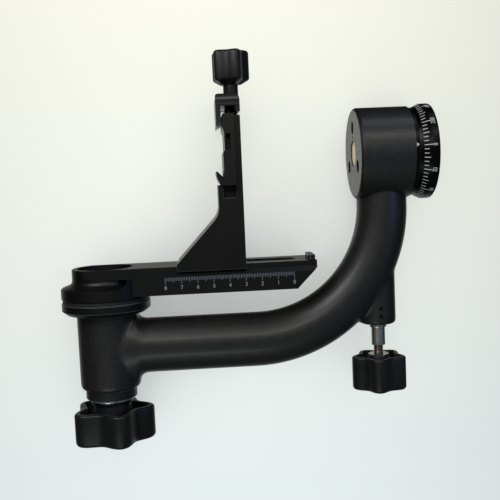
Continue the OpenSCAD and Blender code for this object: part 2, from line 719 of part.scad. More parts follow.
// nut plate that rides in the arm's channel, with a key in the slot
module slide_nut() color([0.35, 0.35, 0.36]) difference() {
    union() {
        translate([-nut_x - nut_t, -channel_w / 2 + 0.2, nut_z - nut_l / 2])
            cube([nut_t, channel_w - 0.4, nut_l]);
        for (s = [-1, 1]) translate([-nut_x - 1, 0, nut_z + s * (nut_l - slot_w) / 2]) rotate([0, 90, 0])
            cylinder(d = slot_w - 0.4, h = nut_x - foot_x + 1);
        translate([-nut_x - 1, -slot_w / 2 + 0.2, nut_z - (nut_l - slot_w) / 2])
            cube([nut_x - foot_x + 1, slot_w - 0.4, nut_l - slot_w]);
    }
    bolt_places() translate([0, 0, -far / 2]) cylinder(r = bolt_r, h = far);
}
module bracket_screws() color([0.15, 0.15, 0.15]) bolt_places() translate([0, 0, -nut_x - nut_t + foot_x])
    rotate([180, 0, 0]) translate([0, 0, bolt_head_t])
        cap_screw(bolt_r, nut_x + nut_t - foot_x + bolt_hold, bolt_head_r, bolt_head_t);

module base_screw_holes() {
    for (x = base_screw_xs, s = [-1, 1]) translate([x, s * base_screw_y, upright_z]) children();
}
module clamp_base_screws() color([0.15, 0.15, 0.15])
    base_screw_holes() flat_screw(base_screw_r, base_screw_l);

module clamp_base() color([0.13, 0.13, 0.13]) difference() {
    union() {
        rotate([90, 0, 0]) linear_extrude(height = clamp_l, center = true) polygon(concat(
            [[base_back_x, upright_z + upright_t], [base_end_x, upright_z + upright_t],
             [base_end_x, seat_z - 1], [base_end_x - 1, seat_z], [relief_x[3], seat_z],
             [relief_x[2], seat_z - relief_t], [relief_x[1], seat_z - relief_t], [relief_x[0], seat_z],
             [fixed_root_x, seat_z], [fixed_root_x + jaw_h - 0.4, seat_z + jaw_h - 0.4]],
            arc_points([jaw_tip_x, seat_z + jaw_h - jaw_back_r], jaw_back_r, 90,
                90 + asin((jaw_tip_x - base_back_x) / jaw_back_r))));
        translate([spine_x, -spine_w / 2, upright_z + upright_t - spine_t])
            cube([upright_top - spine_x, spine_w, spine_t + fine]);
    }
    translate([screw_end_x - 1, 0, clamp_axis_z]) rotate([0, 90, 0])
        cylinder(r = clamp_screw_r + fit, h = far);
    base_screw_holes() flat_screw_hole(base_screw_r, base_screw_l);
    pin_places() translate([0, 0, -pin_in]) cylinder(r = pin_r, h = pin_in + 1);
    for (s = [-1, 1]) translate([side_window[0], s * clamp_l / 2 - side_window_in, side_window_z])
        cube([side_window[1], 2 * side_window_in, side_window[2]]);
}
module pin_places() {
    for (s = [-1, 1]) translate([base_end_x, s * pin_y, pin_z]) rotate([0, 90, 0]) children();
}
module guide_pins() color([0.7, 0.7, 0.7]) pin_places() translate([0, 0, -pin_in])
    cylinder(r = pin_r, h = pin_in + jaw_gap + jaw_travel + pin_hold);

// sliding jaw: a bar with a lip over the seat and a short one behind the upright
module clamp_jaw() color([0.14, 0.14, 0.13]) difference() {
    rotate([90, 0, 0]) linear_extrude(height = clamp_l, center = true) polygon(concat(
        [[jaw_x, seat_z + lip_gap], [jaw_root_x, seat_z + lip_gap], [jaw_root_x - 1.9, seat_z + lip_h]],
        arc_points([jaw_end_x - jaw_round, seat_z + lip_h - jaw_round], jaw_round, 90, 0, 4),
        arc_points([jaw_end_x - jaw_foot_round, upright_z + jaw_foot_round], jaw_foot_round, 0, -90),
        [[upright_top + 2, upright_z], [upright_top + 1.1, upright_z + 1.6],
         [upright_top + 2.2, upright_z + 2.6], [jaw_x, upright_z + 3]]));
    translate([upright_top, 0, clamp_axis_z]) rotate([0, 90, 0]) cylinder(r = clamp_screw_r + 0.1, h = far);
    pin_places() cylinder(r = pin_r + fit, h = far);
}
module clamp_screw() color([0.6, 0.6, 0.6]) translate([screw_end_x, 0, clamp_axis_z]) rotate([0, 90, 0])
    cylinder(r = clamp_screw_r, h = knob_bore_x - screw_end_x);
module clamp_knob() color([0.13, 0.14, 0.14]) translate([jaw_end_x + 0.1, 0, clamp_axis_z]) rotate([0, 90, 0])
    difference() {
        union() {
            cylinder(r = stem_r, h = stem_l);
            translate([0, 0, stem_l])
                cylinder(r1 = stem_r + 1.2, r2 = clamp_knob_r - clamp_valley - 0.6, h = knob_bevel);
            translate([0, 0, stem_l + knob_bevel])
                lobed(clamp_knob_r, clamp_valley, clamp_knob_h, clamp_edge, clamp_turn);
        }
        translate([0, 0, -1]) cylinder(r = clamp_screw_r, h = knob_bore_x - jaw_end_x + 0.9);
    }

base_plate();
base_screws();
thread_insert();
scale_ring();
pan_spindle();
spindle_nut();
pan_inner_races();
pan_outer_races();
pan_balls();
bearing_carrier();
index_collar();
pan_housing();
cap_screws();
arm_tube();
lock_boss();
lock_bush();
bush_set_screws();
brake_pad();
brake_rod();
pan_lock_screw();
pan_knob();
pan_knob_insert();
tilt_housing();
tilt_flange();
flange_screws();
friction_ring();
tilt_outer_races();
tilt_balls();
race_spacer();
tilt_collar();
tilt_inner_races();
tilt_shaft();
shaft_screws();
swing_arm();
end_stop();
thrust_washer();
tilt_knob();
tilt_knob_insert();
platform_bracket();
slide_nut();
bracket_screws();
clamp_base();
clamp_base_screws();
guide_pins();
clamp_jaw();
clamp_screw();
clamp_knob();
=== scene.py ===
import math

import bmesh
import bpy
from mathutils import Matrix, Vector


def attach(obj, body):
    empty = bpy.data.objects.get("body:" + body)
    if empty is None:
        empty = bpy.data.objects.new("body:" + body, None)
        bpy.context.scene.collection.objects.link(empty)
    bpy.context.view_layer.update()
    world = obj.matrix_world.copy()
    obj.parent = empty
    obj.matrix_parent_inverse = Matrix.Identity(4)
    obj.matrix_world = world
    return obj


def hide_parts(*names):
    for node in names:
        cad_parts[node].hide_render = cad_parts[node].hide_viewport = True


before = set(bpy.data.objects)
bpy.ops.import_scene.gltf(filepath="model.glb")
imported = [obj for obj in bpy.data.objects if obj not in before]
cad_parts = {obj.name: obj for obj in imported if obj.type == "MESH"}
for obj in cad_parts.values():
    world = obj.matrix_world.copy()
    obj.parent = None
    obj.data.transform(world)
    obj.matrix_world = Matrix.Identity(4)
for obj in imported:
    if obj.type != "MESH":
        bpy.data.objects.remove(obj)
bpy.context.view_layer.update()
mm = 0.001            # pieces are modelled in millimetres and settled into the frame in metres
decimetre = 100       # in millimetres: the unit of the arm's map
print("stage: frame loaded")


# working with meshes

def leaveEdit():
    if bpy.context.object and bpy.context.object.mode != "OBJECT":
        bpy.ops.object.mode_set(mode="OBJECT")


def selectOnly(*pieces):
    leaveEdit()
    bpy.ops.object.select_all(action="DESELECT")
    for piece in pieces:
        piece.select_set(True)
    bpy.context.view_layer.objects.active = pieces[0]


def pick(piece, kind, test):      # edit mode, with only the wanted parts of the mesh selected
    selectOnly(piece)
    bpy.ops.object.mode_set(mode="EDIT")
    bpy.ops.mesh.select_mode(type=kind)
    bpy.ops.mesh.select_all(action="DESELECT")
    mesh = bmesh.from_edit_mesh(piece.data)
    for part in {"VERT": mesh.verts, "EDGE": mesh.edges, "FACE": mesh.faces}[kind]:
        if test(part):
            part.select_set(True)
    mesh.select_flush_mode()
    bmesh.update_edit_mesh(piece.data)


def applyPlace(piece):
    selectOnly(piece)
    bpy.ops.object.transform_apply(location=True, rotation=True, scale=True)
    return piece


def cylinder(radius, low, high, sides=96):     # along local z, from low to high
    leaveEdit()
    bpy.ops.object.select_all(action="DESELECT")
    bpy.ops.mesh.primitive_cylinder_add(vertices=sides, radius=radius, depth=high - low,
                                        location=(0, 0, (low + high) / 2))
    return applyPlace(bpy.context.object)


def block(size, centre):
    leaveEdit()
    bpy.ops.object.select_all(action="DESELECT")
    bpy.ops.mesh.primitive_cube_add(size=1, location=centre, scale=size)
    return applyPlace(bpy.context.object)


def applyModifier(piece, kind, **settings):
    selectOnly(piece)
    modifier = piece.modifiers.new(kind.lower(), kind)
    for key, value in settings.items():
        setattr(modifier, key, value)
    bpy.ops.object.modifier_apply(modifier=modifier.name)


def combine(piece, other, operation):
    applyModifier(piece, "BOOLEAN", operation=operation, object=other, solver="EXACT")
    bpy.data.objects.remove(other)


def soften(piece, test, width, segments=4):
    pick(piece, "EDGE", test)
    bpy.ops.mesh.bevel(offset=width, segments=segments, profile=0.5, affect="EDGES")
    leaveEdit()


def atHeight(z, tolerance=0.01):      # edges and faces that lie flat at one local height
    return lambda part: all(abs(vert.co.z - z) < tolerance for vert in part.verts)


def duplicate(piece):
    twin = bpy.data.objects.new(piece.name, piece.data.copy())
    bpy.context.collection.objects.link(twin)
    return twin


def turned(piece, place):             # a piece moved in its mesh, so its object stays at the origin
    piece.data.transform(place)
    return piece


def join(pieces):
    selectOnly(*pieces)
    if len(pieces) > 1:
        bpy.ops.object.join()
    return pieces[0]


def smooth(piece, angle=30):
    selectOnly(piece)
    bpy.ops.object.shade_smooth_by_angle(angle=math.radians(angle))


def finishPiece(piece, name, body, material, replaced=(), place=Matrix(), angle=30):
    leaveEdit()
    piece.data.transform(Matrix.Scale(mm, 4) @ place)
    piece.name = name
    piece.data.name = name
    piece.data.materials.clear()
    piece.data.materials.append(material)
    smooth(piece, angle)
    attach(piece, body)
    if replaced:
        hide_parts(*replaced)
    return piece


# places, in millimetres

tiltZ = 211           # height of the tilt axis
lockZ = 36            # height of the pan lock's axis
clampZ = 125.4        # height of the lens clamp's screw


def alongTilt(x):     # local z runs away from the lens, local x points up
    return Matrix.Translation((x, 0, tiltZ)) @ Matrix.Rotation(-math.pi / 2, 4, "Y")


def alongLock(x):
    return Matrix.Translation((x, 0, lockZ)) @ Matrix.Rotation(-math.pi / 2, 4, "Y")


def alongClamp(x):    # local z runs towards the lens
    return Matrix.Translation((x, 0, clampZ)) @ Matrix.Rotation(math.pi / 2, 4, "Y")


# shader building

class Signal:         # a shader socket that can stand in an expression

    def __init__(self, finish, socket):
        self.finish = finish
        self.socket = socket

    def maths(self, operation, *others):
        sockets = dict(enumerate((self, *others)))
        return self.finish.add("ShaderNodeMath", {"operation": operation}, sockets)

    def flipped(self, operation, other):
        return self.finish.add("ShaderNodeMath", {"operation": operation}, {0: other, 1: self})

    def clamped(self):                # kept between 0 and 1
        return self.maths("MINIMUM", 1.0).maths("MAXIMUM", 0.0)

    def also(self, name):             # another output of the same node
        return Signal(self.finish, self.socket.node.outputs[name])

    def __add__(self, other):
        return self.maths("ADD", other)

    def __radd__(self, other):
        return self.flipped("ADD", other)

    def __sub__(self, other):
        return self.maths("SUBTRACT", other)

    def __rsub__(self, other):
        return self.flipped("SUBTRACT", other)

    def __mul__(self, other):
        return self.maths("MULTIPLY", other)

    def __rmul__(self, other):
        return self.flipped("MULTIPLY", other)

    def __truediv__(self, other):
        return self.maths("DIVIDE", other)

    def __lt__(self, other):
        return self.maths("LESS_THAN", other)

    def __gt__(self, other):
        return self.maths("GREATER_THAN", other)


class Finish:         # one node tree, for a material or the world

    def __init__(self, owner):
        self.owner = owner
        owner.use_nodes = True
        self.tree = owner.node_tree
        self.tree.nodes.clear()

    def add(self, kind, settings=None, sockets=None, out=0):
        node = self.tree.nodes.new(kind)
        for key, value in (settings or {}).items():
            if key == "stops":
                ramp = node.color_ramp.elements
                for index, (position, shade) in enumerate(value):
                    stop = ramp[index] if index < 2 else ramp.new(position)
                    stop.position = position
                    stop.color = shade
            else:
                setattr(node, key, value)
        for key, value in (sockets or {}).items():
            if isinstance(value, Signal):
                self.tree.links.new(value.socket, node.inputs[key])
            else:
                node.inputs[key].default_value = value
        return Signal(self, node.outputs[out]) if len(node.outputs) else None

    def blend(self, factor, first, second):
        return self.add("ShaderNodeMix", {"data_type": "RGBA"}, {0: factor, 6: first, 7: second}, out=2)

    def place(self):                  # object coordinates in millimetres
        coordinates = self.add("ShaderNodeTexCoord", out="Object")
        return self.add("ShaderNodeVectorMath", {"operation": "SCALE"}, {0: coordinates, "Scale": 1 / mm})

    def noise(self, where, scale, detail, roughness=0.5):
        return self.add("ShaderNodeTexNoise", {}, {"Vector": where, "Scale": scale, "Detail": detail,
                                                   "Roughness": roughness})

    def bump(self, height, distance, strength):
        return self.add("ShaderNodeBump", {}, {"Height": height, "Distance": distance,
                                               "Strength": strength})

    def surface(self, sockets):
        shader = self.add("ShaderNodeBsdfPrincipled", {}, sockets)
        self.add("ShaderNodeOutputMaterial", {}, {"Surface": shader})
        return self.owner


def newFinish(name):
    return Finish(bpy.data.materials.new(name))


def dimmed(colour, share):
    return (*(share * channel for channel in colour), 1)


def grey(level, tint=(1, 1, 1)):
    return (level * tint[0], level * tint[1], level * tint[2], 1)


# finishes

weave = {
    "tow": 0.62,                      # width of one carbon tow, mm
    "over": 2,                        # tows passed over, and as many under
    "bright": (0.015, 0.015, 0.013, 1),
    "dark": (0.0022, 0.0022, 0.0022, 1),
    "endFace": (0.17, 0.165, 0.148, 1),
    "crown": 0.00006,                 # height of a tow's rounded back, metres
    "coat": 0.22,                     # share of clear lacquer
}


def carbonTwill(finish, across, along):        # both in millimetres on the surface
    p = across / weave["tow"]
    q = along / weave["tow"]
    cell = p.maths("FLOOR") + q.maths("FLOOR")
    over = cell.maths("FLOORED_MODULO", 2.0 * weave["over"]) < (weave["over"] - 0.5)
    pf = p.maths("FRACT")
    qf = q.maths("FRACT")
    warp = 4 * (pf * (1 - pf))
    weft = 4 * (qf * (1 - qf))
    crown = over * warp + (1 - over) * weft
    corner = finish.add("ShaderNodeCombineXYZ", {}, {"X": p.maths("FLOOR"), "Y": q.maths("FLOOR")})
    tone = finish.add("ShaderNodeTexWhiteNoise", {"noise_dimensions": "3D"}, {"Vector": corner})
    return over, crown, tone


def carbonSurface(finish, across, along, bare=None, edge=None):   # bare and edge mark where the weave ends
    over, crown, tone = carbonTwill(finish, across, along)
    where = finish.place()
    cloudy = finish.noise(where, 0.06, 3.0)
    fibres = finish.noise(where, 2.4, 2.0)
    # painted sheen: tows that pass over, and the crown of each tow, are coloured lighter, mixed with random
    # tone from cell to cell and cloudy patches
    lit = (over * (0.3 + 0.7 * crown) * 0.7 + 0.3) * (0.25 + 1.1 * tone) * (0.7 + 0.6 * cloudy)
    colour = finish.blend(lit, weave["dark"], weave["bright"])
    roughness = 0.46 - 0.13 * over + 0.12 * tone + 0.06 * cloudy
    height = crown * 0.6 + 0.2 * fibres + 0.2 * tone
    coat = weave["coat"]
    if bare is not None:
        coat = weave["coat"] * (1 - edge)
        roughness = roughness + 0.1 * (edge - bare)
        colour = finish.blend(edge, colour, weave["dark"])
        colour = finish.blend(bare, colour, weave["endFace"])
        height = height * (1 - edge)
    return finish.surface({
        "Base Color": colour,
        "Roughness": roughness,
        "Specular IOR Level": 0.42,
        "Coat Weight": coat,
        "Coat Roughness": 0.28,
        "Normal": finish.bump(height, weave["crown"], 0.6),
    })


def carbonWrapped():                  # follows the arm's own map
    finish = newFinish("carbonWrapped")
    mapped = finish.add("ShaderNodeUVMap", {"uv_map": "weave"})
    axes = finish.add("ShaderNodeSeparateXYZ", {}, {"Vector": mapped}, out="X")
    return carbonSurface(finish, axes * decimetre, axes.also("Y") * decimetre)


def carbonRound(radius, faceZ):       # round the pan axis, with a plain painted end face
    finish = newFinish("carbonRound")
    axes = finish.add("ShaderNodeSeparateXYZ", {}, {"Vector": finish.place()}, out="X")
    turn = axes.also("Y").maths("ARCTAN2", axes)
    height = axes.also("Z")
    endFace = ((height - faceZ) * 3).clamped()           # painted from here up
    roundEdge = (height - (faceZ - 2)).clamped()         # the weave fades on the rounded edge below it
    return carbonSurface(finish, turn * radius, height, endFace, roundEdge)


# the edges' grey is for the eased edges that easedCopy marks: partly edge wear, partly a painted highlight
# along each edge
def satinBlack(name, level, roughness, grain, speckle, tint=(1, 1, 1.02), edgeWearHighlightLevel=0.12, shine=0.34):
    finish = newFinish(name)
    where = finish.place()
    cloudy = finish.noise(where, 0.09, 4.0)
    grains = finish.noise(where, grain, 2.0, 0.6)
    scuffs = (finish.noise(where, 0.6, 6.0, 0.7) > 0.66) * 0.5
    colour = finish.blend(cloudy * 0.6 + scuffs * 0.4, grey(level * 0.75, tint), grey(level * 1.55, tint))
    edgeWearAndHighlight = finish.add("ShaderNodeAttribute", {"attribute_name": "edgeWearAndHighlight"}, out="Fac")
    # the eased edges turn a lighter grey: edge wear and a painted highlight
    colour = finish.blend(edgeWearAndHighlight * (0.45 + 0.55 * edgeWearAndHighlight * cloudy), colour, grey(edgeWearHighlightLevel, tint))
    return finish.surface({
        "Base Color": colour,
        "Roughness": roughness - 0.05 + 0.12 * grains - 0.05 * scuffs,
        "Specular IOR Level": shine,
        "Normal": finish.bump(grains, speckle, 0.5),
    })


def mouldedRubber(name, level, roughness):
    finish = newFinish(name)
    where = finish.place()
    skin = finish.noise(where, 5.0, 3.0, 0.6)
    handled = finish.noise(where, 0.12, 3.0)
    colour = finish.blend(handled, grey(level * 0.7), grey(level * 1.4, (1, 1.01, 1.05)))
    return finish.surface({
        "Base Color": colour,
        "Roughness": roughness + 0.14 * handled - 0.07,
        "Specular IOR Level": 0.42,
        "Sheen Weight": 0.08,
        "Sheen Roughness": 0.4,
        "Normal": finish.bump(skin, 0.00005, 0.6),
    })


# lathe lines round the pan axis, or round the level axis at height axisZ
def turnedMetal(name, colour, roughness, pitch, axisZ=None, depth=0.00001):
    finish = newFinish(name)
    where = finish.place()
    axes = finish.add("ShaderNodeSeparateXYZ", {}, {"Vector": where}, out="X")
    side = axes.also("Y")
    if axisZ is None:
        radius = (axes * axes + side * side).maths("SQRT")
        run = axes.also("Z")
    else:
        rise = axes.also("Z") - axisZ
        radius = (rise * rise + side * side).maths("SQRT")
        run = axes
    lines = ((radius + run) * (2 * math.pi / pitch)).maths("SINE")
    dull = finish.noise(where, 0.5, 4.0)
    return finish.surface({
        "Base Color": finish.blend(dull, dimmed(colour, 0.88), (*colour, 1)),
        "Metallic": 1.0,
        "Roughness": roughness + 0.07 * dull + 0.03 * lines,
        "Normal": finish.bump(lines, depth, 0.5),
    })


def paintFilled(name, colour):        # paint in a fine engraved mark
    finish = newFinish(name)
    where = finish.place()
    patchy = finish.noise(where, 1.6, 4.0, 0.65)
    return finish.surface({
        "Base Color": finish.blend(patchy, dimmed(colour, 0.6), (*colour, 1)),
        "Roughness": 0.5 + 0.2 * patchy,
        "Normal": finish.bump(patchy, 0.00002, 0.4),
    })


finishes = {
    "carbonWrapped": carbonWrapped(),
    "carbonRound": carbonRound(29, 48.3),
    "anodised": satinBlack("anodised", 0.0024, 0.4, 4.0, 0.000012),
    "coated": satinBlack("coated", 0.003, 0.38, 3.0, 0.00003, (1.02, 1, 0.96), 0.24),
    # the sliding jaw's black coating as a lighter, tan copy: a painted highlight
    "jawPaintedHighlight": satinBlack("jawPaintedHighlight", 0.015, 0.3, 3.0, 0.00003, (1.04, 1, 0.92), 0.06, 0.5),
    "ringBlack": satinBlack("ringBlack", 0.0016, 0.3, 4.0, 0.00001, (1, 1, 1.02), 0.03, 0.12),
    "screwBlack": satinBlack("screwBlack", 0.003, 0.4, 6.0, 0.00001),
    "collarGrey": satinBlack("collarGrey", 0.011, 0.4, 4.0, 0.000012),
    "nylon": satinBlack("nylon", 0.012, 0.6, 2.0, 0.00003),
    "tiltRubber": mouldedRubber("tiltRubber", 0.0042, 0.44),
    "panRubber": mouldedRubber("panRubber", 0.0055, 0.42),
    "clampRubber": mouldedRubber("clampRubber", 0.004, 0.42),
    "panSteel": turnedMetal("panSteel", (0.62, 0.61, 0.58), 0.26, 0.22),
    "tiltSteel": turnedMetal("tiltSteel", (0.66, 0.65, 0.63), 0.2, 0.2, tiltZ),
    "tiltBright": turnedMetal("tiltBright", (0.86, 0.88, 0.92), 0.34, 0.2, tiltZ, 0.000004),
    "lockSteel": turnedMetal("lockSteel", (0.55, 0.54, 0.52), 0.25, 0.2, lockZ),
    "lockBright": turnedMetal("lockBright", (0.82, 0.81, 0.74), 0.26, 0.6, lockZ, 0.000003),
    "lockBronze": turnedMetal("lockBronze", (0.3, 0.25, 0.2), 0.32, 0.2, lockZ),
    "clampSteel": turnedMetal("clampSteel", (0.6, 0.6, 0.58), 0.28, 0.22, clampZ),
    "core": turnedMetal("core", (0.6, 0.6, 0.61), 0.34, 0.3),
    "panBrass": turnedMetal("panBrass", (0.9, 0.74, 0.5), 0.42, 0.5),
    "whiteMark": paintFilled("whiteMark", (0.72, 0.72, 0.66)),
    "greyMark": paintFilled("greyMark", (0.15, 0.18, 0.22)),
    "paleMark": paintFilled("paleMark", (0.30, 0.35, 0.41)),
}
print("stage: finishes made")


# the frame's own nodes

nodeFinish = {
    "base_plate": "anodised", "base_screws": "screwBlack", "thread_insert": "panSteel",
    "pan_spindle": "panSteel", "spindle_nut": "panBrass", "pan_inner_races": "panSteel",
    "pan_outer_races": "panSteel", "pan_balls": "panSteel", "bearing_carrier": "core",
    "cap_screws": "screwBlack", "bush_set_screws": "screwBlack", "brake_pad": "panBrass",
    "brake_rod": "lockSteel", "pan_knob_insert": "lockSteel", "flange_screws": "screwBlack",
    "friction_ring": "nylon", "tilt_outer_races": "tiltSteel", "tilt_balls": "tiltSteel",
    "race_spacer": "tiltSteel", "tilt_inner_races": "tiltSteel", "tilt_shaft": "tiltSteel",
    "shaft_screws": "screwBlack", "tilt_knob_insert": "screwBlack", "slide_nut": "clampSteel",
    "bracket_screws": "screwBlack", "clamp_base_screws": "screwBlack", "guide_pins": "screwBlack",
    "clamp_screw": "screwBlack",
}
for node, finishName in nodeFinish.items():
    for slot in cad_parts[node].material_slots:
        slot.material = finishes[finishName]


# machined parts: the frame's shapes with their edges eased

machined = {                          # eased edge in mm, body, slot and finish of each part
    "scale_ring": (0.22, "pan_base", "scale_black", "ringBlack"),
    "index_collar": (0.15, "arm", "scale_black", "ringBlack"),
    "pan_housing": (0.25, "arm", "carbon", "carbonRound"),
    "tilt_flange": (0.3, "arm", "black_anodised", "anodised"),
    "tilt_collar": (0.3, "arm", "black_anodised", "collarGrey"),
    "lock_bush": (0.25, "arm", "silver_alloy", "lockBright"),
    "swing_arm": (0.35, "swing", "black_anodised", "anodised"),
    "end_stop": (0.4, "swing", "black_anodised", "anodised"),
    "platform_bracket": (0.45, "platform", "black_paint", "coated"),
    "clamp_base": (0.4, "platform", "black_paint", "coated"),
    "clamp_jaw": (0.4, "jaw", "black_paint", "jawPaintedHighlight"),
}


def crossCut(piece, xs):              # cuts across the whole piece, square to the lens axis
    for x in xs:
        pick(piece, "FACE", lambda face: True)
        bpy.ops.mesh.bisect(plane_co=(x, 0, 0), plane_no=(1, 0, 0))
        leaveEdit()


jawEnd = {                            # mm: the bar's span, its ends at y, and how far they round in
    "inner": 32.2, "outer": 39.2, "y": 25, "drop": 3.2, "innerDrop": 1.6, "cuts": 10, "before": 0.5,
}


def crownJawEnds(piece):              # both ends of the sliding jaw's bar are rounded over
    inner, outer = jawEnd["inner"], jawEnd["outer"]
    middle, half = (inner + outer) / 2, (outer - inner) / 2
    steps = [inner + (outer - inner) * cut / jawEnd["cuts"] for cut in range(1, jawEnd["cuts"])]
    crossCut(piece, [inner - jawEnd["before"], *steps])
    for vert in piece.data.vertices:
        share = (vert.co.x - middle) / half
        if abs(vert.co.y) > jawEnd["y"] - 0.01 and -1.01 < share < 1.01:
            drop = jawEnd["drop"] if share > 0 else jawEnd["innerDrop"]
            inset = drop * (1 - math.sqrt(max(0.0, 1 - share * share)))
            vert.co.y = math.copysign(jawEnd["y"] - inset, vert.co.y)


baseWindow = {"x": 10.25, "length": 9.5, "z": 129.2, "height": 2.8, "depth": 7, "y": 25}


def deepenWindows(piece):             # the slots in the clamp base's ends run well into it
    for side in (-1, 1):
        size = (baseWindow["length"], 2 * baseWindow["depth"], baseWindow["height"])
        centre = (baseWindow["x"], side * baseWindow["y"], baseWindow["z"])
        combine(piece, block(size, centre), "DIFFERENCE")


pinHole = {"radius": 1.2, "x": 10.4, "top": 49, "bottom": 45.5}


def drillPinHole(piece):              # small blind hole beside the window
    drill = cylinder(pinHole["radius"], pinHole["bottom"], pinHole["top"], 32)
    combine(piece, turned(drill, Matrix.Translation((pinHole["x"], 0, 0))), "DIFFERENCE")


cheek = {
    "radius": 28.1, "hollow": 24.4, "top": 71.35, "foot": 79, "endZ": 206.5, "sweep": 11.5, "rise": 6.6,
    "spare": 1, "cut": (60, 80, 60),
}


def fillCheeks(piece):                # the disc's wall climbs to the arm's side in a swept corner
    ears = turned(cylinder(cheek["radius"], cheek["top"], cheek["foot"], 128), alongTilt(0))
    spare = cheek["spare"]
    hollow = turned(cylinder(cheek["hollow"], cheek["top"] - spare, cheek["foot"] + spare, 128), alongTilt(0))
    combine(ears, hollow, "DIFFERENCE")
    cut = cheek["cut"]
    combine(ears, block(cut, (-cheek["top"], 0, cheek["endZ"] + cut[2] / 2)), "DIFFERENCE")
    cutter = turned(cylinder(1, -50, 50), Matrix.Rotation(math.pi / 2, 4, "X"))
    cutter.data.transform(Matrix.Diagonal((cheek["rise"], 1, cheek["sweep"], 1)))
    combine(ears, turned(cutter, Matrix.Translation((-cheek["top"], 0, cheek["endZ"]))), "DIFFERENCE")
    combine(piece, ears, "UNION")


shaping = {"clamp_jaw": crownJawEnds, "clamp_base": deepenWindows, "pan_housing": drillPinHole,
           "swing_arm": fillCheeks}


easing = {"weld": 0.002, "flat": 0.5, "corner": 35, "segments": 2}      # mm, degrees, degrees


def easedCopy(node, width):
    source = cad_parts[node]
    piece = bpy.data.objects.new(node, source.data.copy())
    bpy.context.collection.objects.link(piece)
    piece.data.transform(Matrix.Scale(1 / mm, 4))
    selectOnly(piece)
    bpy.ops.mesh.customdata_custom_splitnormals_clear()
    pick(piece, "FACE", lambda face: True)
    bpy.ops.mesh.remove_doubles(threshold=easing["weld"])
    bpy.ops.mesh.dissolve_limited(angle_limit=math.radians(easing["flat"]))
    leaveEdit()
    if node in shaping:
        shaping[node](piece)
    piece.data.materials.clear()
    for slot in range(2):                     # the eased faces get the second slot
        piece.data.materials.append(finishes["coated"])
    applyModifier(piece, "BEVEL", width=width, segments=easing["segments"], limit_method="ANGLE",
                  angle_limit=math.radians(easing["corner"]), use_clamp_overlap=True, material=1)
    # marks the eased faces for the lighter grey of edge wear and a painted highlight
    edgeWearAndHighlight = piece.data.attributes.new("edgeWearAndHighlight", "FLOAT", "FACE")
    for face in piece.data.polygons:
        edgeWearAndHighlight.data[face.index].value = face.material_index
        face.material_index = 0
    return piece


def evenNormals(piece):               # wide flat faces stay flat, and only the eased edges look round
    applyModifier(piece, "WEIGHTED_NORMAL", mode="FACE_AREA", weight=80, keep_sharp=True)


for node, (width, body, slotName, finishName) in machined.items():
    evenNormals(finishPiece(easedCopy(node, width), node + "_eased", body,
                            finishes[finishName], (node,), angle=40))
print("stage: machined parts eased")


# curved arm: neck, bend, reach, tilt housing and lock boss in one moulding

arm = {
    "neckZ": 31.25, "neckRadius": 16.05,       # the tube is a little slimmer at the pan housing
    "tubeRadius": 17.6, "neckStart": -20,
    "bendX": -32.6, "bendZ": 114.4, "bendRadius": 84, "bendSteps": 36,
    "flareZ": 186.5, "flare": 5.2, "flareSteps": 6,
    "housingRadius": 19.3, "housingFace": -93.6, "housingEnd": -143, "housingEdge": 2.6,
    "bossRadius": 11.8, "bossRoot": -60, "bossFoot": -110.5, "bossEdge": 1.8,
    "voxel": 0.75, "smoothing": 36,
    "panRadius": 29.1, "shaftBore": 12.5, "raceBore": 16, "shoulder": -100.6,
    "bushBore": 5, "bushIn": -98, "screwBore": 1.25, "screwXs": (-99.4, -104.3), "screwSkin": 0.2,
    "facing": 6, "across": 60, "spare": 2,     # the face's cut, a cutter's width, what it runs past
}


